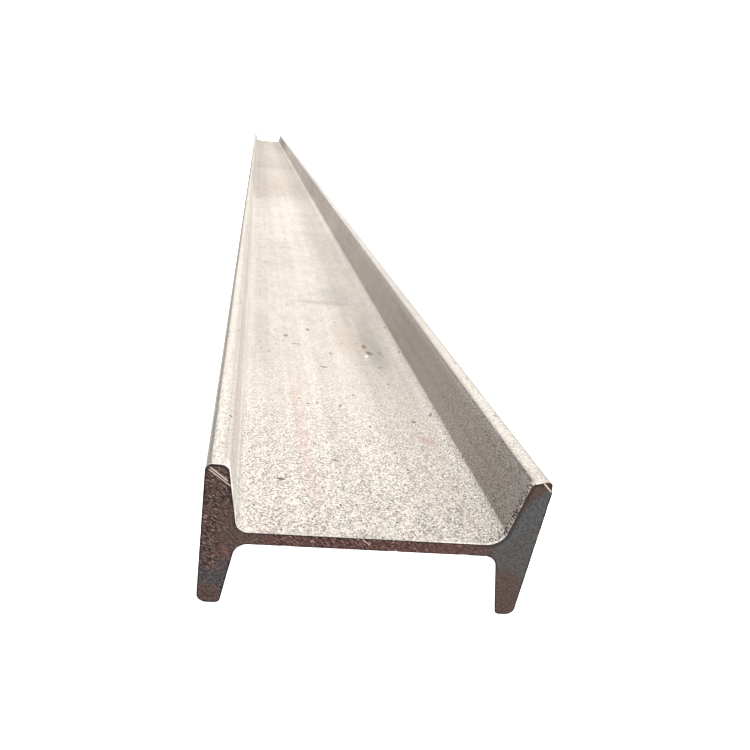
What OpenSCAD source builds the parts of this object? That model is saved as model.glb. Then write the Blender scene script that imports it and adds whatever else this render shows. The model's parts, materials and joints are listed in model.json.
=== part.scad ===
// Hot-rolled steel I-beam with tapered flanges, lying on its flange toes.
// The web is level, the flanges stand upright, and the length runs along Y.
// The origin is on the floor, under the middle of the beam.

/* [Length] */
// Length between the two sawn ends
beam_length = 2000; // [300:50:12000]

/* [Section] */
// Depth of the section, over the outer faces of the two flanges
depth = 100; // [80:1:160]
// Width of each flange, from toe to toe
flange_width = 50; // [36:1:80]
// Thickness of the web
web_thickness = 4.3; // [3.5:0.1:6]
// Thickness of a flange halfway between the web and its toe
flange_thickness = 8.4; // [7:0.1:11]
// Taper of a flange's inner face: one unit of thickness for this many of width
taper_run = 6; // [6:0.5:12]

/* [Rounding] */
// Radius of the fillet between the web and a flange
root_radius = 4; // [2:0.5:6]
// Radius of a toe's inner edge
toe_inner_radius = 1.8; // [0.5:0.1:2.5]
// Radius of a toe's outer edge
toe_outer_radius = 1.2; // [0.5:0.1:2]

/* [Hidden] */
steel = "#cfc6bb";

half_depth = depth / 2;
half_width = flange_width / 2;
half_web = web_thickness / 2;
overhang = half_width - half_web;
taper_angle = atan(1 / taper_run);
// How far an arc passes through each flat it blends into, so that the two cross in one clean edge
cross = 0.001;
// How far a fillet reaches into the metal behind it
bite = 1;
// How far a cut reaches past the outline
spare = 5;
// The most of a toe's thickness that each of its two roundings may take
toe_share = 0.45;

// Distance from the section's middle to a flange's inner face, at height z above the web's middle
function inner_face(z) =
    half_depth - flange_thickness - (half_web + overhang / 2 - z) / taper_run;

// Unit vector out of the right-hand upper inner face, into the open channel
off_face = [-cos(taper_angle), sin(taper_angle)];

// Centre of an arc of radius r at height z, which blends into the inner face from the channel's side
// (way = 1) or from the metal's side (way = -1)
function arc_centre(r, z, way) = [inner_face(z) - way * (r - cross) / cos(taper_angle), z];

toe_thickness = half_depth - inner_face(half_width);
toe_inner = min(toe_inner_radius, toe_share * toe_thickness);
toe_outer = min(toe_outer_radius, toe_share * toe_thickness);

root_centre = arc_centre(root_radius, half_web + root_radius - cross, 1);
toe_centre = arc_centre(toe_inner, half_width - toe_inner + cross, -1);
toe_corner = [half_depth, half_width] - (toe_outer - cross) * [1, 1];

// The upper half of the right-hand flange
module flange_half() {
    difference() {
        polygon([
            [inner_face(0), 0],
            [half_depth, 0],
            [half_depth, half_width],
            [inner_face(half_width), half_width]
        ]);
        toe_inner_cut();
        toe_outer_cut();
    }
}

// What the toe's inner arc takes off
module toe_inner_cut() {
    difference() {
        polygon([
            toe_centre,
            [toe_centre[0], half_width + spare],
            [inner_face(half_width) - spare, half_width + spare],
            toe_centre + (toe_inner + spare) * off_face
        ]);
        translate(toe_centre) circle(r = toe_inner, $fn = 96);
    }
}

// What the toe's outer arc takes off
module toe_outer_cut() {
    translate(toe_corner)
        difference() {
            square(toe_outer + spare);
            circle(r = toe_outer, $fn = 96);
        }
}

// The fillet in the corner between the web and the flange
module root_fillet() {
    difference() {
        polygon([
            root_centre,
            [root_centre[0], half_web - bite],
            [inner_face(half_web) + bite, half_web - bite],
            root_centre - (root_radius + bite) * off_face
        ]);
        translate(root_centre) circle(r = root_radius, $fn = 96);
    }
}

// The H outline: four equal quarters joined by the web
module section() {
    for (side = [0, 1], way = [0, 1])
        mirror([side, 0]) mirror([0, way]) {
            flange_half();
            root_fillet();
        }
    square([depth - flange_thickness, web_thickness], center = true);
}

module i_beam() {
    color(steel)
        translate([0, beam_length / 2, half_width])
            rotate([90, 0, 0])
                linear_extrude(height = beam_length) section();
}

i_beam();
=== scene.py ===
"""Looks of a hot-rolled steel I-beam: its rolled skin, its two sawn ends, and the studio round it."""

import json
import math
from types import SimpleNamespace

import bmesh
import bpy
import numpy as np
from mathutils import Matrix, Vector
from mathutils.geometry import delaunay_2d_cdt


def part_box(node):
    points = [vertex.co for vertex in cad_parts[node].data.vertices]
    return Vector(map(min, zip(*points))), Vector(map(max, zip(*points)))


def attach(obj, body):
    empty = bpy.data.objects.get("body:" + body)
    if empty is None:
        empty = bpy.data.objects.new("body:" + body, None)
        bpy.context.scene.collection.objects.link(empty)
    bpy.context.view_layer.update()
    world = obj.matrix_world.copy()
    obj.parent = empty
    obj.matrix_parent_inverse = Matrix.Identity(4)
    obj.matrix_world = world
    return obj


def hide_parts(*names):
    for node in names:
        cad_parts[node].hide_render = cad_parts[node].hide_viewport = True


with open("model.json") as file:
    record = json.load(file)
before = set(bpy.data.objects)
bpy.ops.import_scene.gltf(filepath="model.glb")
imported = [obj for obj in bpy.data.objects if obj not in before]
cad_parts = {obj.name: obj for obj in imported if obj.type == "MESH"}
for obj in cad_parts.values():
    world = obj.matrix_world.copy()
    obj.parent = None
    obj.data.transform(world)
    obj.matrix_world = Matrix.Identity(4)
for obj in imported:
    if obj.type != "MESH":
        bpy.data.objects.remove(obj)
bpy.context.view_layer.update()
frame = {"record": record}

MM = 0.001
VECTOR_MATH = "ShaderNodeVectorMath"
MAP_RANGE = "ShaderNodeMapRange"

# ---------------------------------------------------------------- sizes of the section
low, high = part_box("i_beam")
mount_place = {mount["name"]: mount["pos_m"] for mount in frame["record"]["mounts"]}
centre = (low + high) / 2
beam_length = high.y - low.y
half_depth = (high.x - low.x) / 2 / MM
half_width = (high.z - low.z) / 2 / MM
half_web = (mount_place["web_upper_face"][2] - mount_place["web_lower_face"][2]) / 2 / MM

# The flanges' thickness at mid-overhang, in millimetres, and the run in which their inner faces fall by one
flange_thickness = 8.4
taper_run = 6

# The rounding of each quarter of the section, in millimetres: its toe's outer corner, its toe's inner
# corner and its root. The rolls left each one a little different.
quarter_roundings = {
    (1, 1): (1.2, 2.3, 5.9),
    (-1, 1): (2.2, 2.6, 4.0),
    (-1, -1): (3.2, 1.6, 4.4),
    (1, -1): (2.6, 1.6, 4.2),
}

# How much thicker than drawn each quarter's flange was rolled, in millimetres, at its toe and at its root
quarter_gains = {(1, 1): (0, 0), (-1, 1): (0, 0), (-1, -1): (0.5, 0.1), (1, -1): (-0.5, 0.9)}

# A chip off the right flange's upper toe corner, at the near end: the way that its torn face leans,
# a point (x, z) on that face in millimetres, how far out the face is from the web's middle, and over how
# many millimetres it falls to its full depth
chip_lean = math.radians(53)
chip_facing = (math.cos(chip_lean), 0, math.sin(chip_lean))
chip_point = (48.1, 23.65)
chip_reach = chip_point[0] * chip_facing[0] + chip_point[1] * chip_facing[2]
chip_run = 0.7

# Where the roots above the web end and the flanges' inner faces begin, in millimetres above its middle
root_end = 6.2
inside_start = 6.9

# How the saw's scores lean across the ends
saw_angle = math.radians(-39)

# Where the burr stands on the near end, in millimetres: along the right flange's inner edge and into its
# root, between the web's top and the toe
burr_start = 28
burr_full = 39
burr_stop = 49
burr_foot = 1.5
burr_top = 22.5

# Crumbs of burr lie in this last strip of the skin, in millimetres, where the burr is at least this strong
crumb_strip = 1.0
least_crumb_share = 0.6

# The rim is worn in patches this long, in millimetres, and least on the flanges' outer sides and low down
worn_patch = 7
side_start = 46
side_full = 49
low_full = -3
low_end = 1
least_wear = 0.3

# The waves and the scores are squeezed this much along X, Y and Z. An edge is sharp past this angle.
wave_shape = (6, 1, 6)
score_shape = (0.25, 1, 1)
sharp_angle = 0.8

# Closer to an end or to the rim than this, in millimetres, a point counts as lying on it
weld_reach = 0.01
on_rim_reach = 0.02
on_end_reach = 0.05

# How closely the skin and the end faces are divided, in millimetres
flat_step = 2.2
arc_step = 0.55
end_grid = 0.45
rim_inset = 0.3

SEED = 7


def linear(hex_colour):
    """A colour written as sRGB hex, turned to the linear values that a shader takes."""
    shares = [int(hex_colour[i:i + 2], 16) / 255 for i in (1, 3, 5)]
    return [s / 12.92 if s <= 0.04045 else ((s + 0.055) / 1.055) ** 2.4 for s in shares] + [1]


def node(tree, kind, inputs=None, **settings):
    """Adds a node with its settings, and sets or links its inputs, which go by name or by number."""
    made = tree.nodes.new(kind)
    for name, value in settings.items():
        setattr(made, name, value)
    for name, value in (inputs or {}).items():
        if isinstance(name, int):
            socket = made.inputs[name]
        else:
            socket = next(s for s in made.inputs if s.name == name and s.enabled)
        if isinstance(value, bpy.types.Node):
            value = next(s for s in value.outputs if s.enabled)
        if isinstance(value, bpy.types.NodeSocket):
            tree.links.new(value, socket)
        else:
            socket.default_value = value
    return made


def maths(tree, operation, *values):
    """Adds a node that works out one operation on its values."""
    return node(tree, "ShaderNodeMath", dict(enumerate(values)), operation=operation)


def where_all(tree, *masks):
    """Where all the masks are, or how light or how high the surface is where several levels meet."""
    product = masks[0]
    for mask in masks[1:]:
        product = maths(tree, "MULTIPLY", product, mask)
    return product


def bare_material(name):
    """A new material with nothing in its tree."""
    material = bpy.data.materials.new(name)
    material.use_nodes = True
    material.node_tree.nodes.clear()
    return material


# ---------------------------------------------------------------- the H outline
def inner_face(z):
    """Distance from the web's middle to a flange's inner face, at height z above the web's middle."""
    overhang = half_width - half_web
    return half_depth - flange_thickness - (half_web + overhang / 2 - z) / taper_run


def section_corners():
    """The H's twelve corners, anticlockwise as seen from the near end: (x, z, radius)."""
    corners = []
    for (side, rise), roundings in quarter_roundings.items():
        toe_gain, root_gain = quarter_gains[side, rise]
        quarter = [
            (half_depth, half_width),
            (inner_face(half_width) - toe_gain, half_width),
            (inner_face(half_web) - root_gain, half_web),
        ]
        there = [(side * x, rise * z, r) for (x, z), r in zip(quarter, roundings)]
        corners += there if side == rise else reversed(there)
    return corners


def rounded_outline(corners):
    """Points round a closed outline: an arc at each corner, and even steps along the flats between."""
    points = []
    for i, (x, z, radius) in enumerate(corners):
        here = Vector((x, z))
        back = (Vector(corners[i - 1][:2]) - here).normalized()
        ahead = (Vector(corners[(i + 1) % len(corners)][:2]) - here).normalized()
        half_angle = back.angle(ahead) / 2
        middle = here + (back + ahead).normalized() * radius / math.sin(half_angle)
        start = here + back * radius / math.tan(half_angle) - middle
        end = here + ahead * radius / math.tan(half_angle) - middle
        turn = math.atan2(start.cross(end), start.dot(end))
        steps = max(3, math.ceil(abs(turn) * radius / arc_step))
        if points:
            run = middle + start - points[-1]
            pieces = math.ceil(run.length / flat_step)
            points += [points[-1] + run * k / pieces for k in range(1, pieces)]
        points += [middle + Matrix.Rotation(turn * k / steps, 2) @ start for k in range(steps + 1)]
    run = points[0] - points[-1]
    pieces = math.ceil(run.length / flat_step)
    return points + [points[-1] + run * k / pieces for k in range(1, pieces)]


def gap_to_outline(spots, outline):
    """Distance from each spot to the outline, and whether the spot lies inside it."""
    a = outline
    b = np.roll(outline, -1, axis=0)
    along = b - a
    offset = spots[:, None, :] - a[None]
    share = np.clip((offset * along).sum(2) / (along ** 2).sum(1), 0, 1)
    gap = np.linalg.norm(offset - share[..., None] * along, axis=2).min(1)
    crosses = (a[:, 1] > spots[:, 1:]) != (b[:, 1] > spots[:, 1:])
    rise = np.where(along[:, 1] == 0, 1, along[:, 1])
    left_of = spots[:, :1] < a[:, 0] + (spots[:, 1:] - a[:, 1]) * along[:, 0] / rise
    return gap, (crosses & left_of).sum(1) % 2 == 1


def section_face():
    """The beam's section as a flat mesh facing the near end, fine enough inside to carry the saw's marks."""
    outline = np.array([tuple(p) for p in rounded_outline(section_corners())])
    tangent = np.roll(outline, -1, axis=0) - np.roll(outline, 1, axis=0)
    inward = np.stack([-tangent[:, 1], tangent[:, 0]], 1) / np.linalg.norm(tangent, axis=1)[:, None]
    inset = outline + inward * rim_inset
    rows = np.arange(-half_width, half_width, end_grid * math.sin(math.pi / 3))
    grid = [
        (x + end_grid / 2 * (k % 2), z)
        for k, z in enumerate(rows)
        for x in np.arange(-half_depth, half_depth, end_grid)
    ]
    grid = np.array(grid)
    gap, inside = gap_to_outline(grid, outline)
    grid = grid[inside & (gap > rim_inset + end_grid * 0.6)]
    spots = [Vector(p) for p in np.vstack([outline, inset, grid])]
    points, _, faces, *_ = delaunay_2d_cdt(spots, [], [list(range(len(outline)))], 1, 1e-6)
    mesh = bpy.data.meshes.new("section_face")
    mesh.from_pydata([(p.x * MM, 0, p.y * MM) for p in points], [], faces)
    return mesh


# ---------------------------------------------------------------- the rolled beam
def rolled_beam_tree():
    """Sweeps a section face into a beam with rolled waves along it, sawn ends and burrs at the near end."""
    tree = bpy.data.node_groups.new("rolled_beam", "GeometryNodeTree")
    tree.interface.new_socket("Beam", in_out="OUTPUT", socket_type="NodeSocketGeometry")
    for name, kind in [
        ("Section", "Geometry"), ("Length", "Float"), ("Rings", "Int"), ("End crowding", "Float"),
        ("Roll wave height", "Float"), ("Roll wave length", "Float"),
        ("Saw mark depth", "Float"), ("Saw mark spacing", "Float"), ("Saw mark angle", "Float"),
        ("Edge wear", "Float"), ("Burr height", "Float"),
        ("Chip facing", "Vector"), ("Chip reach", "Float"), ("Chip depth", "Float"),
        ("Crumb size", "Float"), ("Crumbs per area", "Float"),
        ("Skin", "Material"), ("Sawn end", "Material"), ("Seed", "Int"),
    ]:
        tree.interface.new_socket(name, in_out="INPUT", socket_type="NodeSocket" + kind)
    given = node(tree, "NodeGroupInput").outputs
    half = maths(tree, "MULTIPLY", given["Length"], 0.5)
    minus_half = maths(tree, "MULTIPLY", half, -1.0)
    near_place = node(tree, "ShaderNodeCombineXYZ", {"Y": minus_half})
    far_place = node(tree, "ShaderNodeCombineXYZ", {"Y": half})

    # Two caps: the far one is the near one turned inside out
    near_cap = node(tree, "GeometryNodeTransform", {"Geometry": given["Section"], "Translation": near_place})
    far_cap = node(tree, "GeometryNodeTransform", {"Geometry": given["Section"], "Translation": far_place})
    far_cap = node(tree, "GeometryNodeFlipFaces", {"Mesh": far_cap})

    # The skin: the section's outline swept along a line whose rings crowd towards both ends
    edge_faces = node(tree, "GeometryNodeInputMeshEdgeNeighbors")
    on_outline = node(
        tree, "FunctionNodeCompare", {"A": edge_faces, "B": 1}, data_type="INT", operation="EQUAL"
    )
    outline = node(tree, "GeometryNodeMeshToCurve", {"Mesh": given["Section"], "Selection": on_outline})
    profile = node(tree, "GeometryNodeTransform", {"Geometry": outline, "Rotation": (math.pi / 2, 0, 0)})
    line = node(tree, "GeometryNodeCurvePrimitiveLine", {"Start": near_place, "End": far_place})
    line = node(tree, "GeometryNodeResampleCurve", {"Curve": line, "Count": given["Rings"]})
    share = node(tree, "GeometryNodeSplineParameter").outputs["Factor"]
    evenly = node(tree, MAP_RANGE, {"Value": share, "To Min": -1.0, "To Max": 1.0})
    swung = maths(tree, "MULTIPLY", evenly, math.pi / 2)
    swung = maths(tree, "SINE", swung)
    crowded = node(tree, "ShaderNodeMix", {"Factor": given["End crowding"], "A": evenly, "B": swung})
    ring_y = maths(tree, "MULTIPLY", crowded, half)
    ring_place = node(tree, "ShaderNodeCombineXYZ", {"Y": ring_y})
    line = node(tree, "GeometryNodeSetPosition", {"Geometry": line, "Position": ring_place})
    skin = node(tree, "GeometryNodeCurveToMesh", {"Curve": line, "Profile Curve": profile})
    joined = node(tree, "GeometryNodeJoinGeometry")
    for part in (skin, near_cap, far_cap):
        tree.links.new(part.outputs[0], joined.inputs[0])
    welded = node(tree, "GeometryNodeMergeByDistance", {"Geometry": joined, "Distance": weld_reach * MM})

    # What each point knows about itself: its way in from the rim, and which end it is on, if any
    place = node(tree, "GeometryNodeInputPosition")
    axes = node(tree, "ShaderNodeSeparateXYZ", {"Vector": place}).outputs
    flattened = node(tree, VECTOR_MATH, {0: place, 1: (1, 0, 1)}, operation="MULTIPLY")
    outline_edges = node(tree, "GeometryNodeCurveToMesh", {"Curve": outline})
    nearest = {"Geometry": outline_edges, "Sample Position": flattened}
    rim_gap = node(tree, "GeometryNodeProximity", nearest, target_element="EDGES").outputs["Distance"]
    known = node(
        tree, "GeometryNodeStoreNamedAttribute", {"Geometry": welded, "Name": "from_rim", "Value": rim_gap}
    )
    from_rim = node(tree, "GeometryNodeInputNamedAttribute", {"Name": "from_rim"})
    y_size = maths(tree, "ABSOLUTE", axes["Y"])
    end_gap = maths(tree, "SUBTRACT", half, y_size)
    at_end = maths(tree, "LESS_THAN", end_gap, on_end_reach * MM)
    near_half = maths(tree, "LESS_THAN", axes["Y"], 0.0)
    at_near_end = where_all(tree, near_half, at_end)
    by_rim = maths(tree, "LESS_THAN", from_rim, on_rim_reach * MM)
    on_rim = where_all(tree, by_rim, at_end)
    normal = node(tree, "GeometryNodeInputNormal")
    facing = node(tree, "ShaderNodeSeparateXYZ", {"Vector": normal}).outputs
    endwise = maths(tree, "ABSOLUTE", facing["Y"])
    is_sawn = node(tree, "FunctionNodeCompare", {"A": endwise, "B": 0.5}, operation="GREATER_THAN")

    # Each face is skin or sawn end, and knows which before anything is pushed out of place
    cut = {"Geometry": known, "Name": "sawn", "Value": is_sawn}
    known = node(tree, "GeometryNodeStoreNamedAttribute", cut, data_type="BOOLEAN", domain="FACE")
    angle = node(tree, "GeometryNodeInputMeshEdgeAngle").outputs["Unsigned Angle"]
    is_sharp = node(tree, "FunctionNodeCompare", {"A": angle, "B": sharp_angle}, operation="GREATER_THAN")
    smooth = node(tree, "GeometryNodeSetShadeSmooth", {"Geometry": known, "Shade Smooth": True})
    sharpened = {"Geometry": smooth, "Selection": is_sharp, "Shade Smooth": False}
    smooth = node(tree, "GeometryNodeSetShadeSmooth", sharpened, domain="EDGE")

    # Rolled waves: the skin sinks by a little, slowly along the length and faster across it
    wave_size = maths(tree, "DIVIDE", 1.0, given["Roll wave length"])
    wave_place = node(tree, VECTOR_MATH, {0: place, 1: wave_shape}, operation="MULTIPLY")
    waviness = {"Vector": wave_place, "W": given["Seed"], "Scale": wave_size, "Detail": 1}
    wave = node(tree, "ShaderNodeTexNoise", waviness, noise_dimensions="4D")
    on_skin = maths(tree, "SUBTRACT", 1.0, at_end)
    inwards = where_all(tree, -1.0, wave, given["Roll wave height"], on_skin)
    wave_move = node(tree, VECTOR_MATH, {0: normal, "Scale": inwards}, operation="SCALE")
    waved = node(tree, "GeometryNodeSetPosition", {"Geometry": smooth, "Offset": wave_move})

    # Saw marks: long shallow scores across each end, and a chipped toe corner at the near one
    saw_turn = node(tree, "ShaderNodeCombineXYZ", {"Y": given["Saw mark angle"]})
    saw_place = node(
        tree, "ShaderNodeVectorRotate", {"Vector": place, "Rotation": saw_turn}, rotation_type="EULER_XYZ"
    )
    saw_place = node(tree, VECTOR_MATH, {0: saw_place, 1: score_shape}, operation="MULTIPLY")
    saw_size = maths(tree, "DIVIDE", 1.0, given["Saw mark spacing"])
    scoring = {"Vector": saw_place, "W": given["Seed"], "Scale": saw_size, "Detail": 2}
    score = node(tree, "ShaderNodeTexNoise", scoring, noise_dimensions="4D")
    score_depth = where_all(tree, score, given["Saw mark depth"], at_end)
    outwards = node(tree, VECTOR_MATH, {0: place, 1: given["Chip facing"]}, operation="DOT_PRODUCT")
    past_chip = maths(tree, "SUBTRACT", outwards.outputs["Value"], given["Chip reach"])
    chip_fall = {"From Max": chip_run * MM, "To Max": given["Chip depth"]}
    chip_slope = node(tree, MAP_RANGE, {"Value": past_chip, **chip_fall})
    chip_sunk = where_all(tree, chip_slope, at_near_end)
    sunk = maths(tree, "ADD", score_depth, chip_sunk)
    which_end = maths(tree, "SIGN", axes["Y"])
    sink_move = node(tree, "ShaderNodeCombineXYZ", {"Y": where_all(tree, sunk, which_end, -1.0)})
    sawn = node(tree, "GeometryNodeSetPosition", {"Geometry": waved, "Offset": sink_move})

    # The rim: worn back unevenly all round, and turned up into a burr where the saw came out
    patches = {"Scale": 1 / (worn_patch * MM), "Detail": 4, "Roughness": 0.6}
    patches = {"Vector": place, "W": given["Seed"], **patches}
    rough = node(tree, "ShaderNodeTexNoise", patches, noise_dimensions="4D")
    x_size = maths(tree, "ABSOLUTE", axes["X"])
    side_reach = {"From Min": side_start * MM, "From Max": side_full * MM}
    off_sides = node(tree, MAP_RANGE, {"Value": x_size, **side_reach, "To Min": 1.0, "To Max": least_wear})
    low_reach = {"From Min": low_full * MM, "From Max": low_end * MM}
    on_top = node(tree, MAP_RANGE, {"Value": axes["Z"], **low_reach, "To Min": least_wear, "To Max": 1.0})
    wear = where_all(tree, -1.0, rough, given["Edge wear"], on_rim, off_sides, on_top)
    wear_move = node(tree, VECTOR_MATH, {0: normal, "Scale": wear}, operation="SCALE")
    worn = node(tree, "GeometryNodeSetPosition", {"Geometry": sawn, "Offset": wear_move})
    burr_reach = {"From Min": burr_start * MM, "From Max": burr_full * MM}
    in_channel = node(tree, MAP_RANGE, {"Value": axes["X"], **burr_reach})
    above_web = maths(tree, "GREATER_THAN", axes["Z"], burr_foot * MM)
    below_toe = maths(tree, "LESS_THAN", axes["Z"], burr_top * MM)
    off_outside = maths(tree, "LESS_THAN", axes["X"], burr_stop * MM)
    burr_here = where_all(tree, above_web, below_toe, in_channel, off_outside)
    burr_rise = where_all(tree, burr_here, on_rim, at_near_end, rough, given["Burr height"])
    sideways = node(tree, VECTOR_MATH, {0: normal, 1: (1, 0, 1)}, operation="MULTIPLY")
    burr_move = node(tree, VECTOR_MATH, {0: sideways, "Scale": burr_rise}, operation="SCALE")
    burred = node(tree, "GeometryNodeSetPosition", {"Geometry": worn, "Offset": burr_move})

    # Crumbs of burr that cling to the skin along the right flange's inner edge and into its root, some of
    # them bright and some rusted. They lie inside the end's plane.
    by_end = maths(tree, "LESS_THAN", end_gap, crumb_strip * MM)
    crumb_share = where_all(tree, by_end, near_half, burr_here)
    crumb_here = maths(tree, "GREATER_THAN", crumb_share, least_crumb_share)
    crumb_spread = {"Density": given["Crumbs per area"], "Seed": given["Seed"]}
    scatter = node(
        tree, "GeometryNodeDistributePointsOnFaces", {"Mesh": burred, "Selection": crumb_here, **crumb_spread}
    )
    crumb_move = node(tree, "ShaderNodeCombineXYZ", {"Y": given["Crumb size"]})
    scatter = node(tree, "GeometryNodeSetPosition", {"Geometry": scatter, "Offset": crumb_move})
    chance = {"Probability": 0.5, "Seed": given["Seed"]}
    is_rusted = node(tree, "FunctionNodeRandomValue", chance, data_type="BOOLEAN")
    rusted = {"Geometry": scatter, "Name": "sawn", "Value": is_rusted}
    scatter = node(tree, "GeometryNodeStoreNamedAttribute", rusted, data_type="BOOLEAN")
    crumb = node(tree, "GeometryNodeMeshIcoSphere", {"Radius": given["Crumb size"], "Subdivisions": 1})
    scales = {"Min": (0.5, 0.25, 0.2), "Max": (1.0, 0.45, 0.35), "Seed": given["Seed"]}
    crumb_scale = node(tree, "FunctionNodeRandomValue", scales, data_type="FLOAT_VECTOR")
    full_turn = 6.28
    turns = {"Max": (full_turn,) * 3, "Seed": given["Seed"]}
    crumb_turn = node(tree, "FunctionNodeRandomValue", turns, data_type="FLOAT_VECTOR")
    crumbs = node(
        tree,
        "GeometryNodeInstanceOnPoints",
        {"Points": scatter, "Instance": crumb, "Rotation": crumb_turn, "Scale": crumb_scale},
    )
    whole = node(tree, "GeometryNodeJoinGeometry")
    for part in (crumbs, burred):
        tree.links.new(part.outputs[0], whole.inputs[0])
    realized = node(tree, "GeometryNodeRealizeInstances", {"Geometry": whole})
    was_sawn = node(tree, "GeometryNodeInputNamedAttribute", {"Name": "sawn"}, data_type="BOOLEAN")
    dressed = node(tree, "GeometryNodeSetMaterial", {"Geometry": realized, "Material": given["Skin"]})
    dressed = node(
        tree,
        "GeometryNodeSetMaterial",
        {"Geometry": dressed, "Selection": was_sawn, "Material": given["Sawn end"]},
    )
    node(tree, "NodeGroupOutput", {"Beam": dressed})
    return tree


def made_piece(name, start_mesh, tree, sizes, place):
    """Runs a tree on a start mesh with the given sizes, and returns the result as a mesh in its place."""
    maker = bpy.data.objects.new(name + "_maker", start_mesh)
    bpy.context.scene.collection.objects.link(maker)
    modifier = maker.modifiers.new(name, "NODES")
    modifier.node_group = tree
    for item in tree.interface.items_tree:
        if item.in_out == "INPUT" and item.name in sizes:
            modifier[item.identifier] = sizes[item.name]
    evaluated = maker.evaluated_get(bpy.context.evaluated_depsgraph_get())
    mesh = bpy.data.meshes.new_from_object(evaluated)
    maker.modifiers.remove(modifier)
    bpy.data.objects.remove(maker)
    for k in reversed([k for k, finish in enumerate(mesh.materials) if finish is None]):
        mesh.materials.pop(index=k)
    mesh.name = name
    mesh.transform(Matrix.Translation(place))
    piece = bpy.data.objects.new(name, mesh)
    bpy.context.scene.collection.objects.link(piece)
    return piece


# ---------------------------------------------------------------- finishes
def beam_millimetres(tree):
    """Places on the beam in millimetres: across from its middle, along from the near end, up from the web."""
    place = node(tree, "ShaderNodeTexCoord").outputs["Object"]
    start = Vector((centre.x, low.y, centre.z)) / MM
    return node(
        tree, "ShaderNodeMapping", {"Vector": place, "Location": -start, "Scale": (1 / MM, 1 / MM, 1 / MM)}
    )


def measures(tree, place):
    """The three measures of a place on the beam: across, along and up."""
    parts = node(tree, "ShaderNodeSeparateXYZ", {"Vector": place}).outputs
    return parts["X"], parts["Y"], parts["Z"]


def mottle(tree, place, size, detail=1.0, lean=(0, 0, 0), offset=0.0):
    """Soft irregular patches, 0 to 1. size is a patch's size in millimetres along X, Y and Z."""
    turned = node(tree, "ShaderNodeMapping", {"Vector": place, "Rotation": lean})
    scaled = node(tree, VECTOR_MATH, {0: turned, 1: [1 / s for s in size]}, operation="MULTIPLY")
    return node(
        tree,
        "ShaderNodeTexNoise",
        {"Vector": scaled, "W": offset, "Scale": 1.0, "Detail": detail, "Roughness": 0.55},
        noise_dimensions="4D",
    )


def band(tree, value, *steps):
    """A level that follows value smoothly through steps, each (value, level)."""
    level = steps[0][1]
    for (start, low_level), (end, high_level) in zip(steps, steps[1:]):
        reach = {"From Min": start, "From Max": end, "To Min": 0.0, "To Max": high_level - low_level}
        rise = node(tree, MAP_RANGE, {"Value": value, **reach}, interpolation_type="SMOOTHSTEP")
        level = maths(tree, "ADD", rise, level)
    return level


def only_where(tree, mask, level):
    """A level where the mask is, and 1 elsewhere."""
    return node(tree, "ShaderNodeMix", {"Factor": mask, "A": 1.0, "B": level})


def laid_over(tree, colour, *coats):
    """A colour with coats laid over it in turn, each (sRGB hex, where it lies, how strongly)."""
    for hex_colour, where, strength in coats:
        share = maths(tree, "MULTIPLY", where, strength)
        mixed = {"Factor": share, "A": colour, "B": linear(hex_colour)}
        colour = node(tree, "ShaderNodeMix", mixed, data_type="RGBA")
    return colour


def mark(tree, place, middle, size, turn=0.0):
    """A soft oval mark on the skin: its middle, its half sizes, and its turn in plan, in mm and degrees."""
    there = node(
        tree,
        "ShaderNodeMapping",
        {"Vector": place, "Location": middle, "Rotation": (0, 0, math.radians(turn)), "Scale": size},
        vector_type="TEXTURE",
    )
    gap = node(tree, VECTOR_MATH, {0: there}, operation="LENGTH").outputs["Value"]
    return band(tree, gap, (0.35, 1), (1, 0))


def score_line(tree, place, start, end, width):
    """A thin straight scratch on the near end, from start to end as (across, up), in millimetres."""
    run = Vector(end) - Vector(start)
    there = node(
        tree,
        "ShaderNodeMapping",
        {
            "Vector": place,
            "Location": (start[0], 0, start[1]),
            "Rotation": (0, -math.atan2(run.y, run.x), 0),
            "Scale": (run.length, 1, width),
        },
        vector_type="TEXTURE",
    )
    parts = node(tree, "ShaderNodeSeparateXYZ", {"Vector": there}).outputs
    beside = maths(tree, "ABSOLUTE", parts["Z"])
    near_line = band(tree, beside, (0.3, 1), (1, 0))
    within = band(tree, parts["X"], (-0.04, 0), (0.08, 1), (0.9, 1), (1.02, 0))
    at_near_end = band(tree, parts["Y"], (2, 1), (3, 0))
    return where_all(tree, near_line, within, at_near_end)


def shifted(tree, value, patches, reach):
    """A measure pushed back and forth by soft patches, so that what follows it has an uneven edge."""
    push = node(
        tree,
        MAP_RANGE,
        {"Value": patches, "From Min": 0.2, "From Max": 0.8, "To Min": -reach, "To Max": reach},
    )
    return maths(tree, "ADD", value, push)


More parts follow.
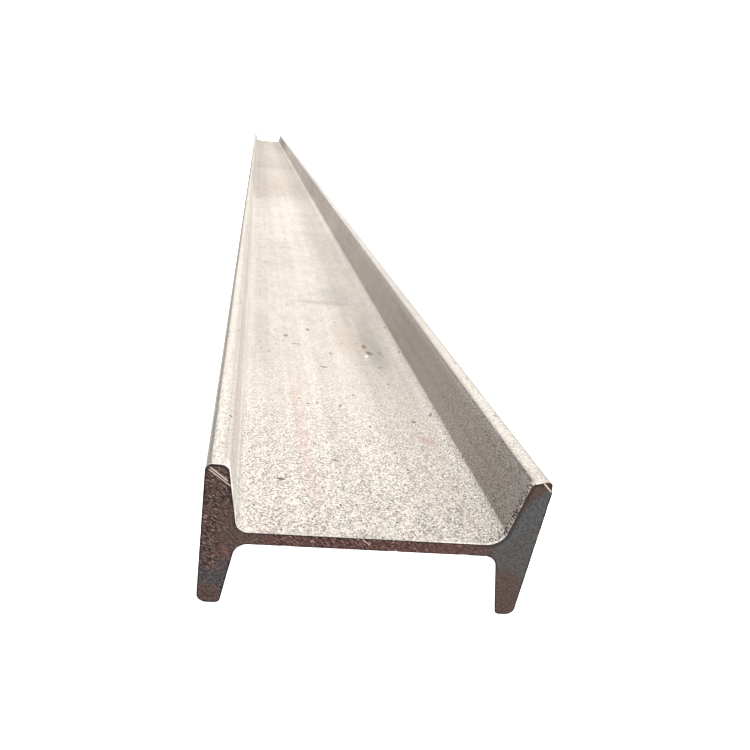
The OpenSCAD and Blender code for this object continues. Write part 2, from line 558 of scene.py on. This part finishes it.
def skin_regions(tree, place):
    """Masks for the skin's regions, and an uneven measure along it that the bands across the length follow.

    The regions are each flange's inner face above the web, the flanges' outer faces, the toes, the web's
    upper side, and the inside of the right flange's lower leg near the sawn end, which painted light makes
    nearly white.
    """
    across, along, up = measures(tree, place)
    sideways = maths(tree, "ABSOLUTE", across)
    wander = mottle(tree, place, (14, 60, 14), detail=2, offset=5)
    right_inside = where_all(
        tree,
        band(tree, up, (root_end, 0), (inside_start, 1)),
        band(tree, across, (38.4, 0), (39.6, 1)),
        band(tree, across, (44.2, 1), (44.5, 0)),
    )
    off_right_inside = band(tree, right_inside, (0, 1), (1, 0))
    outer_faces = where_all(
        tree, band(tree, sideways, (49.2, 0), (49.8, 1)), band(tree, up, (20.5, 1), (22.5, 0))
    )
    return SimpleNamespace(
        right_inside=right_inside,
        off_right_inside=off_right_inside,
        outer_faces=outer_faces,
        left_inside=where_all(
            tree,
            band(tree, up, (4.6, 0), (5.4, 1), (24, 1), (24.8, 0)),
            band(tree, across, (-40, 1), (-39.2, 0)),
            band(tree, outer_faces, (0, 1), (1, 0)),
        ),
        on_toes=where_all(tree, band(tree, up, (22.4, 0), (23.8, 1)), off_right_inside),
        on_web=band(tree, up, (2.6, 1), (4, 0)),
        # Painted light: the inside of the right flange's lower leg near the sawn end, made nearly white
        painted_light_leg=where_all(
            tree,
            band(tree, across, (30, 0), (37, 1), (46, 1), (47, 0)),
            band(tree, along, (130, 1), (240, 0)),
            band(tree, up, (-3, 1), (-2, 0)),
        ),
        uneven_along=shifted(tree, along, wander, 26),
    )


def skin_grain(tree, place, skin):
    """How light the grains and pits make the skin, and how high they stand on it.

    Real blast pits are 0.1 to 0.3 mm wide, and are drawn at 0.3 to 0.75 mm so that they show.
    """
    along = measures(tree, place)[1]
    grain = mottle(tree, place, (0.6, 0.5, 0.6), detail=0)
    fine = mottle(tree, place, (0.34, 0.34, 0.34), detail=0, offset=4)
    pits = mottle(tree, place, (0.75, 0.6, 0.75), detail=0, offset=9)
    strength = band(
        tree, along, (0, 1), (30, 0.97), (60, 0.84), (85, 0.6), (110, 0.48), (170, 0.36), (800, 0.22)
    )
    grain_rise = band(tree, grain, (0.2, -0.52), (0.8, 0.28))
    fine_rise = band(tree, fine, (0.2, -0.28), (0.8, 0.2))
    pit_drop = band(tree, pits, (0.2, -0.65), (0.34, 0))
    rise = maths(tree, "ADD", grain_rise, fine_rise)
    rise = maths(tree, "ADD", rise, pit_drop)
    strength = where_all(
        tree,
        strength,
        band(tree, skin.right_inside, (0, 1), (1, 0.85)),
        band(tree, skin.on_toes, (0, 1), (1, 0.6)),
        band(tree, skin.painted_light_leg, (0, 1), (1, 0.3)),
    )
    grain_level = maths(tree, "MULTIPLY_ADD", rise, strength, 1.0)
    return grain_level, where_all(tree, grain, strength)


def skin_levels(tree, place, skin):
    """How light the skin is apart from its grain: a list of levels, which all multiply."""
    across, along, up = measures(tree, place)

    # Streaks that the rolls leave along the length, and broader patches of lighter and darker scale
    streak = mottle(tree, place, (4, 420, 4), detail=2, offset=1)
    patch = mottle(tree, place, (60, 160, 60), detail=2, offset=3)
    dapple = mottle(tree, place, (5, 9, 5), detail=2, offset=7)
    ribs = mottle(tree, place, (34, 22, 34), detail=3, offset=8)

    # How light each band across the length is, with painted shade over the first 35 mm from the sawn end
    cross_level = band(
        tree, skin.uneven_along, (0, 0.86), (14, 0.91), (35, 0.99), (70, 1.01), (120, 1), (330, 1),
        (400, 1.05), (450, 1.09), (600, 1.02), (648, 0.9), (820, 0.88), (1000, 0.92), (1040, 0.84),
        (1180, 0.92), (1500, 0.93), (1620, 0.86), (2000, 0.86),
    )
    dapple_level = band(tree, dapple, (0.3, 0.93), (0.7, 1.06))
    dapple_share = band(tree, along, (50, 0.15), (170, 1))
    rib_level = band(tree, ribs, (0.3, 0.94), (0.7, 1.05))
    rib_share = band(tree, along, (160, 0), (420, 1))

    # How light each strip along the length is. A painted sheen makes the web palest in its middle, and
    # painted shade darkens its right side next to the right flange; its left third is duller far from the
    # sawn end. The flanges' inner faces, the roots and the toes carry painted light and shade.
    crown = band(tree, across, (-38, 0.96), (-8, 1.11), (6, 1.1), (24, 0.93), (40, 0.88))
    crown_share = where_all(tree, skin.on_web, band(tree, along, (10, 0.25), (110, 1)))
    near_lean = band(tree, across, (-42, 1.06), (-24, 1.04), (-16, 1), (8, 1), (20, 1.02))
    near_share = where_all(tree, skin.off_right_inside, band(tree, along, (60, 1), (150, 0)))
    far_lean = band(tree, across, (-41, 0.98), (-39.6, 0.9), (0, 1.02), (24, 1.1), (41, 1.12), (46, 1.06))
    far_share = band(tree, skin.uneven_along, (340, 0), (620, 1))
    far_share = where_all(tree, far_share, skin.off_right_inside)
    # Painted shade and painted reflection on the right flange's inner face: darkest by the sawn end, lightest
    # far along it
    inside_level = band(
        tree, along, (0, 0.79), (60, 0.96), (200, 1.13), (450, 1.18), (900, 1.6), (1280, 1.8), (1700, 1.05)
    )
    # Painted shade on the rounding where the right flange's inner face meets its toe
    rounding_level = band(tree, up, (22.3, 1), (23.4, 0.93), (24.6, 0.6))
    # Painted light on the left flange's inner face, strongest down by its root
    left_level = band(tree, up, (5, 1.56), (9, 1.43), (15, 1.23), (21, 1.2), (24, 1.24))
    # Partly painted shade: both toes are darkened along their outer edges
    toe_level = band(
        tree, across, (-50, 0.6), (-49.3, 0.5), (-48.8, 0.5), (-48.1, 1.08), (-47.3, 1.16), (-46.4, 1.12),
        (-45.3, 0.96), (-44.6, 0.87), (-43.5, 0.9), (-43, 1), (44, 0.98), (44.7, 0.92), (46, 0.98),
        (48.1, 0.94), (48.6, 0.76), (49.8, 0.7), (50, 1),
    )
    # Painted light in the right root, lightest towards the top of its fillet
    root_level = band(tree, across, (33.5, 1), (36.5, 1.08), (38.2, 1.17), (39.2, 1.3), (40.1, 1.4))
    root_share = band(tree, up, (root_end, 1.0), (inside_start, 0.0))
    levels_in_places = [
        (dapple_share, dapple_level),
        (rib_share, rib_level),
        (crown_share, crown),
        (near_share, near_lean),
        (far_share, far_lean),
        (skin.right_inside, inside_level),
        (skin.right_inside, rounding_level),
        (skin.left_inside, left_level),
        (root_share, root_level),
        (skin.on_toes, toe_level),
        # Painted light: the right flange's lower leg near the sawn end is lightened by half again
        (skin.painted_light_leg, 1.5),
        # Painted shade: the flanges' outer faces are darkened
        (skin.outer_faces, 0.72),
    ]
    return [
        cross_level,
        band(tree, streak, (0.3, 0.94), (0.7, 1.06)),
        band(tree, patch, (0.3, 0.95), (0.7, 1.05)),
        *(only_where(tree, mask, level) for mask, level in levels_in_places),
    ]


def skin_tones(tree, place, skin):
    """The skin's colour: faint rust, warmer and yellower bands far off, and painted light as a paler coat in
    the roots.
    """
    across, _, up = measures(tree, place)
    coarse = mottle(tree, place, (9, 14, 9), offset=2)
    warm_band = band(tree, skin.uneven_along, (640, 0), (655, 1), (850, 0.9), (1000, 0.3))
    yellow_band = band(tree, skin.uneven_along, (980, 0), (1060, 0.9), (2000, 1))
    # Painted light: a paler coat in both roots, up to where the flanges' inner faces begin
    in_root = where_all(
        tree,
        band(tree, across, (-39.6, 1), (-37, 0), (36, 0), (38.4, 1)),
        band(tree, up, (1, 0), (2, 1), (root_end, 1.0), (inside_start, 0.0)),
    )
    return laid_over(
        tree,
        linear("#B9B2A9"),
        ("#BDAEA4", band(tree, coarse, (0.45, 0), (0.75, 1)), 0.4),
        ("#C2A994", where_all(tree, skin.on_web, warm_band), 0.2),
        ("#A5A089", where_all(tree, skin.on_web, yellow_band), 0.3),
        ("#CAC5BF", in_root, 0.6),
        ("#B8B0AC", skin.right_inside, 0.6),
        # Painted light: a near-white coat on the right flange's lower leg near the sawn end
        ("#C9C9C9", skin.painted_light_leg, 0.9),
    )


def deep_pits(tree, place):
    """Deeper pits, at most one in each 4 mm or so."""
    pit_place = node(tree, VECTOR_MATH, {0: place, 1: (0.25, 0.22, 0.25)}, operation="MULTIPLY")
    pit_cell = node(tree, "ShaderNodeTexVoronoi", {"Vector": pit_place, "Scale": 1.0}).outputs
    pit_kind = node(tree, "ShaderNodeSeparateColor", {"Color": pit_cell["Color"]}).outputs["Red"]
    pit_reach = band(tree, pit_kind, (0.5, -0.05), (1, 0.17))
    past_pit = maths(tree, "SUBTRACT", pit_cell["Distance"], pit_reach)
    return band(tree, past_pit, (-0.05, 1), (0.05, 0))


def edge_highlights_and_fringe(tree, place, skin):
    """The coats of colour beside the cut.

    A painted highlight runs along the last half millimetre on the web's right half and on the toes, a
    patch a few millimetres under the left toe is brighter still, and the saw left a hatched fringe along
    the right flange's inner face.
    """
    across, along, up = measures(tree, place)
    hatch = mottle(tree, place, (0.9, 2.5, 0.42), detail=0, lean=(math.radians(25), 0, 0), offset=12)
    # Painted highlight along the last half millimetre of skin beside the cut
    edge_highlight = where_all(
        tree,
        band(tree, hatch, (0.3, 0.3), (0.6, 1)),
        band(tree, along, (0, 1), (0.45, 0.8), (0.8, 0)),
        band(tree, across, (-42, 0.5), (-40, 0.1), (12, 0.1), (26, 1)),
        band(tree, skin.right_inside, (0, 1), (1, 0.3)),
    )
    left_bright_patch = where_all(
        tree,
        skin.left_inside,
        band(tree, across, (-46.5, 0), (-45.5, 1)),
        band(tree, up, (11, 0), (14, 1)),
        band(tree, along, (2.5, 1), (5, 0)),
        band(tree, hatch, (0.3, 0.4), (0.6, 1)),
    )
    fringe = where_all(tree, skin.right_inside, band(tree, along, (0, 1), (1.3, 1), (2, 0)))
    bright_hatch = where_all(tree, fringe, band(tree, hatch, (0.5, 0), (0.58, 1)))
    dark_hatch = where_all(tree, fringe, band(tree, hatch, (0.42, 1), (0.5, 0)))
    return [
        ("#EEEAE2", edge_highlight, 0.9),
        ("#F4F0EA", left_bright_patch, 0.8),
        ("#CDC0B8", bright_hatch, 0.75),
        ("#33241F", dark_hatch, 0.75),
    ]


def skin_marks(tree, place):
    """The coats of colour for the skin's single marks: smears first, then pits over them."""
    # Single pits that the rolling and handling left on the upper side, (middle, half sizes, turn, strength)
    pit_marks = [
        ((-26, 25, 2), (2.2, 0.8, 3), -12, 1.0),
        ((-6, 37, 2), (2.2, 0.7, 3), -25, 0.8),
        ((-28, 10, 2), (1.2, 0.6, 3), 0, 0.6),
        ((-18.5, 146, 2), (2.0, 2.4, 3), 0, 0.6),
        ((-5.5, 157, 2), (1.8, 2.4, 3), 0, 0.65),
        ((-13.5, 136, 2), (4.0, 1.3, 3), -4, 0.4),
        ((-1.5, 111, 2), (2.6, 1.0, 3), -8, 0.75),
        ((9, 85, 2), (1.2, 0.9, 3), -15, 0.6),
        ((1.5, 75, 2), (0.8, 1.7, 3), -10, 0.6),
        ((31, 66, 2), (1.5, 0.9, 3), -10, 0.8),
        ((39, 70, 3), (1.0, 1.4, 3), 0, 0.7),
        ((27.5, 115, 2), (2.6, 1.4, 3), 25, 0.4),
        ((2.5, 43, 2), (1.6, 0.6, 3), 0, 0.6),
        ((23.6, 139, 2), (1.6, 3.4, 3), 0, 0.7),
        ((25.0, 131, 2), (1.9, 3.4, 3), 30, 0.75),
        ((30.8, 132, 2), (1.8, 3.0, 3), 0, 0.35),
    ]
    # Smears, and where rust has bled, in the same order and then each one's colour
    smear_marks = [
        ((-8, 345, 2), (12, 5, 3), 0, 0.3, "#8A857E"),
        ((12, 205, 2), (28, 5, 3), 2, 0.36, "#8A847D"),
        ((18, 222, 2), (18, 24, 3), 0, 0.3, "#8F8A84"),
        ((-28, 290, 2), (4, 4, 3), 0, 0.35, "#8A857E"),
        ((29, 150, 2), (8, 60, 3), 0, 0.4, "#8F8A82"),
        ((-31, 150, 2), (5, 60, 3), 0, 0.2, "#8A857E"),
        ((17, 145, 2), (13, 34, 4), 0, 0.35, "#A99B88"),
        ((27, 138, 2), (7, 30, 4), 0, 0.3, "#77756C"),
        ((33, 53, 2), (4.0, 5, 4), -30, 0.25, "#9A6A5E"),
        ((-16.5, 55, 2), (3.5, 70, 4), 2, 0.14, "#C29486"),
    ]
    smears = [(tone, mark(tree, place, *oval), strength) for *oval, strength, tone in smear_marks]
    pits = [("#4A413B", mark(tree, place, *oval), strength) for *oval, strength in pit_marks]
    return smears + pits


def rolled_skin():
    """Hot-rolled structural steel, its mill scale blasted off: a dull pale grey-beige skin, finely pitted.

    The pits give dark specks between pale grains, closest together near the sawn end. The rolls leave
    long faint streaks, and the skin goes lighter and darker in bands across the length. Light and shade
    are painted into the colour too: a painted sheen down the web's middle, painted light in the roots, on
    the left flange's inner face and on the right flange's lower leg, painted shade and reflection on the
    right flange's inner face, painted shade on the outer faces and the toes' edges, and painted highlights
    along the cut edge and in a glint. The blasted skin scatters light like a pale mineral, so little of it
    shines as bare metal.
    """
    # A painted glint, a small white highlight on the web: its middle, its half sizes and its turn, in mm and
    # degrees
    glint = ((22.8, 127, 2), (0.9, 1.5, 3), -25)
    material = bare_material("hot_rolled_steel_skin")
    tree = material.node_tree
    place = beam_millimetres(tree)
    skin = skin_regions(tree, place)
    grain_level, height = skin_grain(tree, place, skin)
    level = where_all(tree, grain_level, *skin_levels(tree, place, skin))
    colour = skin_tones(tree, place, skin)
    colour = node(tree, VECTOR_MATH, {0: colour, "Scale": level}, operation="SCALE")
    colour = laid_over(
        tree,
        colour,
        ("#5F554F", deep_pits(tree, place), 0.7),
        *skin_marks(tree, place),
        *edge_highlights_and_fringe(tree, place, skin),
        ("#FFFFFF", mark(tree, place, *glint), 0.9),
    )
    relief = node(tree, "ShaderNodeBump", {"Height": height, "Distance": 0.25 * MM, "Strength": 0.5})
    shine = {"Metallic": 0.3, "Roughness": 0.55}
    steel = node(tree, "ShaderNodeBsdfPrincipled", {"Base Color": colour, "Normal": relief, **shine})
    node(tree, "ShaderNodeOutputMaterial", {"Surface": steel})
    return material


def cut_regions(tree, place):
    """Masks for the sawn end's regions, and the patches that its rust, pores, flecks and scores follow.

    Rust gathers in blotches, and opens in pores and flecks that lie along the saw's scores. The real
    scores are 0.1 to 0.2 mm apart, and are drawn twice as coarse so that they show.
    """
    across, along, up = measures(tree, place)
    saw_lean = (0, saw_angle, 0)
    cloud = mottle(tree, place, (9, 9, 9), detail=2, offset=1)
    uneven_up = shifted(tree, up, cloud, 3.0)
    sideways = maths(tree, "ABSOLUTE", across)
    on_left = band(tree, across, (-40, 1), (-38, 0))
    return SimpleNamespace(
        at_near_end=band(tree, along, (20, 1), (30, 0)),
        on_web=band(tree, sideways, (26, 1), (37, 0)),
        lower_web=where_all(
            tree, band(tree, sideways, (34, 1), (38, 0)), band(tree, up, (-0.5, 1), (0.5, 0))
        ),
        on_left=on_left,
        left_toe=where_all(tree, on_left, band(tree, uneven_up, (9, 0), (14, 1))),
        uneven_up=uneven_up,
        uneven_across=shifted(tree, across, cloud, 1.5),
        cloud=cloud,
        blotch=mottle(tree, place, (3.5, 3.5, 3.5), detail=3),
        pores=mottle(tree, place, (1.9, 1.0, 0.55), lean=saw_lean, offset=2),
        flecks=mottle(tree, place, (1.6, 0.8, 0.45), lean=saw_lean, offset=3),
        scores=mottle(tree, place, (9, 1.0, 0.35), detail=2, lean=saw_lean, offset=6),
        grit=mottle(tree, place, (1.0, 0.8, 0.65), lean=saw_lean, offset=7),
    )


def cut_tones(tree, place, cut):
    """The cut's colour: brown rust, and blue-grey on most of the right flange and low on the left one."""
    across, along, _ = measures(tree, place)
    flange_middle = 45
    from_middle = maths(tree, "SUBTRACT", across, flange_middle)
    toe_line, leg_line = [
        maths(tree, "MULTIPLY_ADD", from_middle, slope, cut.uneven_up)
        for slope in (-1.3, 0.6)
    ]
    grey_flange = where_all(
        tree,
        band(tree, cut.uneven_across, (36.5, 0), (40, 1)),
        band(tree, toe_line, (15, 1), (20.5, 0)),
        band(tree, leg_line, (-10.5, 0), (-5.5, 1)),
        band(tree, along, (20, 1), (30, 0.35)),
    )
    grey_toe = where_all(tree, grey_flange, band(tree, toe_line, (4, 0), (9, 1)))
    grey_patch = where_all(
        tree,
        cut.on_left,
        cut.at_near_end,
        band(tree, cut.uneven_up, (-20, 0), (-17, 1), (-14, 1), (-11.5, 0)),
    )
    inner_leg = where_all(
        tree,
        band(tree, cut.uneven_up, (-18, 0), (-14, 1), (-8, 1), (-5, 0)),
        band(tree, across, (-45, 0), (-43, 1), (-40, 1), (-38, 0)),
        cut.at_near_end,
    )
    return laid_over(
        tree,
        linear("#493833"),
        ("#51342F", cut.on_web, 1.0),
        ("#463733", band(tree, cut.blotch, (0.5, 0), (0.7, 1)), 0.6),
        ("#61392F", band(tree, cut.cloud, (0.55, 0), (0.75, 1)), 0.4),
        ("#464442", grey_flange, 0.93),
        ("#454848", grey_toe, 0.7),
        ("#37393A", grey_patch, 0.8),
        ("#3C3D3D", inner_leg, 0.6),
    )


def pitted_parts(tree, place, cut):
    """Where the pores and flecks are thickest: the left flange's outer half and toe, and the web."""
    across = measures(tree, place)[0]
    pitted = where_all(
        tree,
        band(tree, across, (-45.8, 1), (-43, 0)),
        band(tree, cut.uneven_up, (-15, 0), (-11, 1)),
    )
    web_strokes = where_all(tree, cut.on_web, band(tree, across, (-33, 0), (-27, 1), (6, 0.9), (24, 0.35)))
    on_grey = band(tree, across, (36, 0.2), (40, 0.04))
    for where in (cut.left_toe, web_strokes, on_grey):
        pitted = maths(tree, "MAXIMUM", pitted, where)
    return pitted


def rim_coats(tree, place, cut):
    """The coats of colour along the cut's rim, which is nearly black.

    Its black is partly dark rust and partly painted shade along the edge. It is broken up along the web's
    lower edge, softer along the burr, and stands in beads down the left leg's inside. The chip's torn face
    is dark brown.
    """
    across, _, up = measures(tree, place)
    from_rim = node(tree, "ShaderNodeAttribute", attribute_name="from_rim").outputs["Fac"]
    from_rim = maths(tree, "MULTIPLY", from_rim, 1 / MM)
    ragged_rim = shifted(tree, from_rim, cut.flecks, 0.25)
    # Partly painted shade: a nearly black line along the rim, over the rust
    black_rim = band(tree, ragged_rim, (0.22, 1), (0.6, 0))
    burred_rim = where_all(
        tree,
        band(tree, across, (28, 0), (38, 1), (46, 1), (47.5, 0)),
        band(tree, up, (0, 0), (1, 1)),
        band(tree, ragged_rim, (0.7, 1), (1.7, 0)),
        cut.at_near_end,
    )
    toe_rim = where_all(tree, cut.left_toe, band(tree, from_rim, (0.5, 1), (1.1, 0)))
    bead = mottle(tree, place, (30, 30, 1.1), detail=0, offset=11)
    beads = where_all(
        tree,
        band(tree, bead, (0.5, 0), (0.56, 1)),
        band(tree, across, (-46, 0), (-45, 1), (-39, 1), (-38, 0)),
        band(tree, up, (-22, 0), (-20, 1), (-7, 1), (-5, 0)),
        band(tree, from_rim, (0.5, 1), (0.9, 0)),
        cut.at_near_end,
    )
    outwards = node(tree, VECTOR_MATH, {0: place, 1: chip_facing}, operation="DOT_PRODUCT")
    past_chip = maths(tree, "SUBTRACT", outwards.outputs["Value"], chip_reach)
    chipped = where_all(tree, band(tree, past_chip, (0, 0), (0.25, 1)), cut.at_near_end)
    return [
        ("#0E0A09", black_rim, band(tree, cut.lower_web, (0, 0.9), (1, 0.3))),
        ("#2E2120", burred_rim, 0.75),
        ("#1A1210", toe_rim, 0.6),
        ("#050404", beads, 0.95),
        ("#3A2C1C", chipped, 0.8),
    ]


def sawn_end():
    """Sawn steel left in the rain: a thin brown rust over the saw's scores, pitted black.

    The right flange has rusted less and keeps the blue-grey of the cut. The rim is nearly black, partly
    from painted shade along the edge. The rust is dry and rough, so the end hardly shines.
    """
    # Fresh scratches, each (start, end, half width), across and up in millimetres
    scratches = [
        ((-48.6, 24), (-43.3, 19.5), 0.3),
        ((-49, 23.3), (-42.2, 17.8), 0.22),
        ((-2.9, 2.2), (-0.1, -0.4), 0.18),
        ((46.9, 24.9), (49.75, 22.2), 0.35),
    ]
    material = bare_material("sawn_rusted_steel")
    tree = material.node_tree
    place = beam_millimetres(tree)
    across = measures(tree, place)[0]
    cut = cut_regions(tree, place)
    colour = cut_tones(tree, place, cut)

    # Black pores and pale flecks, and a finer grit over all
    pitted = pitted_parts(tree, place, cut)
    fleck = where_all(tree, band(tree, cut.flecks, (0.52, 0), (0.66, 1)), pitted)
    pore = where_all(tree, band(tree, cut.pores, (0.41, 1), (0.5, 0)), pitted)
    colour = laid_over(tree, colour, ("#92716A", fleck, 0.7), ("#130A09", pore, 0.93))
    grit_level = band(tree, cut.grit, (0.25, 0.3), (0.75, 1.7))
    grit_share = band(tree, across, (0, 1), (36, 0.75), (40, 0.5))
    score_level = band(tree, cut.scores, (0.35, 0.9), (0.65, 1.08))
    end_level = where_all(tree, score_level, only_where(tree, grit_share, grit_level))
    colour = node(tree, VECTOR_MATH, {0: colour, "Scale": end_level}, operation="SCALE")

    bright = [("#C9B5AA", score_line(tree, place, *scratch), 0.85) for scratch in scratches]
    colour = laid_over(tree, colour, *rim_coats(tree, place, cut), *bright)
    height = maths(tree, "MULTIPLY_ADD", cut.pores, pitted, cut.scores)
    relief = node(tree, "ShaderNodeBump", {"Height": height, "Distance": 0.2 * MM, "Strength": 0.4})
    shine = {"Metallic": 0.0, "Roughness": 0.8, "Specular IOR Level": 0.2}
    steel = node(tree, "ShaderNodeBsdfPrincipled", {"Base Color": colour, "Normal": relief, **shine})
    node(tree, "ShaderNodeOutputMaterial", {"Surface": steel})
    return material


# ---------------------------------------------------------------- the studio
def studio():
    """A pale floor that glows like a light table, a white sky, a high lamp and a broad fill from one side."""
    scene = bpy.context.scene
    scene.view_settings.view_transform = "Standard"

    floor_mesh = bpy.data.meshes.new("floor")
    reach = 60
    signs = [(-1, -1), (1, -1), (1, 1), (-1, 1)]
    floor_mesh.from_pydata([(reach * x, reach * y, low.z) for x, y in signs], [], [(0, 1, 2, 3)])
    floor = bpy.data.objects.new("floor", floor_mesh)
    scene.collection.objects.link(floor)
    material = bare_material("light_table")
    tree = material.node_tree
    grey = (0.3, 0.3, 0.3, 1)
    white = (1, 1, 1, 1)
    glow = {"Emission Color": white, "Emission Strength": 1.8}
    board = node(tree, "ShaderNodeBsdfPrincipled", {"Base Color": grey, "Roughness": 0.9, **glow})
    node(tree, "ShaderNodeOutputMaterial", {"Surface": board})
    floor_mesh.materials.append(material)

    world = bpy.data.worlds.new("white_room")
    world.use_nodes = True
    tree = world.node_tree
    tree.nodes.clear()
    seen = node(tree, "ShaderNodeLightPath").outputs["Is Camera Ray"]
    level = node(tree, MAP_RANGE, {"Value": seen, "To Min": 0.5, "To Max": 1.1})
    sky = node(tree, "ShaderNodeBackground", {"Color": white, "Strength": level})
    node(tree, "ShaderNodeOutputWorld", {"Surface": sky})
    scene.world = world

    for name, strength, size, aim in [
        ("high_lamp", 4.0, 6, (0.09, 0.2, 1)),
        ("side_fill", 1.6, 60, (1, 0.4, 0.7)),
    ]:
        lamp = bpy.data.lights.new(name, "SUN")
        lamp.energy = strength
        lamp.angle = math.radians(size)
        holder = bpy.data.objects.new(name, lamp)
        holder.rotation_mode = "QUATERNION"
        holder.rotation_quaternion = Vector(aim).to_track_quat("Z", "Y")
        scene.collection.objects.link(holder)


def camera():
    """Stands 0.12 m off the near end, above its left half, and looks down along the beam.

    Its lens is shifted, so the middle of the view lies below and to the right of where it points.
    """
    lens = bpy.data.cameras.new("camera")
    lens.lens = 25.756
    lens.sensor_width = 36
    lens.shift_x = 0.12039
    lens.shift_y = -0.10226
    lens.clip_start = 0.01
    lens.clip_end = 200
    holder = bpy.data.objects.new("camera", lens)
    near_end = Vector((centre.x, low.y, centre.z))
    eye = Vector((-43.651, -123.408, 117.548)) * MM
    heading = math.radians(-4.7210)
    tilt = math.radians(90 - 19.1939)
    roll = math.radians(6.4659)
    holder.matrix_world = (
        Matrix.Translation(near_end + eye)
        @ Matrix.Rotation(heading, 4, "Z")
        @ Matrix.Rotation(tilt, 4, "X")
        @ Matrix.Rotation(roll, 4, "Z")
    )
    bpy.context.scene.collection.objects.link(holder)
    bpy.context.scene.camera = holder


studio()
camera()

beam = made_piece(
    "rolled_beam",
    section_face(),
    rolled_beam_tree(),
    {
        "Length": beam_length,
        "Rings": 280,
        "End crowding": 0.9,
        "Roll wave height": 0.12 * MM,
        "Roll wave length": 0.25,
        "Saw mark depth": 0.12 * MM,
        "Saw mark spacing": 1.1 * MM,
        "Saw mark angle": saw_angle,
        "Edge wear": 0.5 * MM,
        "Burr height": 0.5 * MM,
        "Chip facing": chip_facing,
        "Chip reach": chip_reach * MM,
        "Chip depth": 0.8 * MM,
        "Crumb size": 0.6 * MM,
        "Crumbs per area": 2.6 / MM ** 2,
        "Skin": rolled_skin(),
        "Sawn end": sawn_end(),
        "Seed": SEED,
    },
    centre,
)

# Every face turned outwards
solid = bmesh.new()
solid.from_mesh(beam.data)
bmesh.ops.recalc_face_normals(solid, faces=solid.faces)
solid.to_mesh(beam.data)
solid.free()
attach(beam, "root")
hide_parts("i_beam")
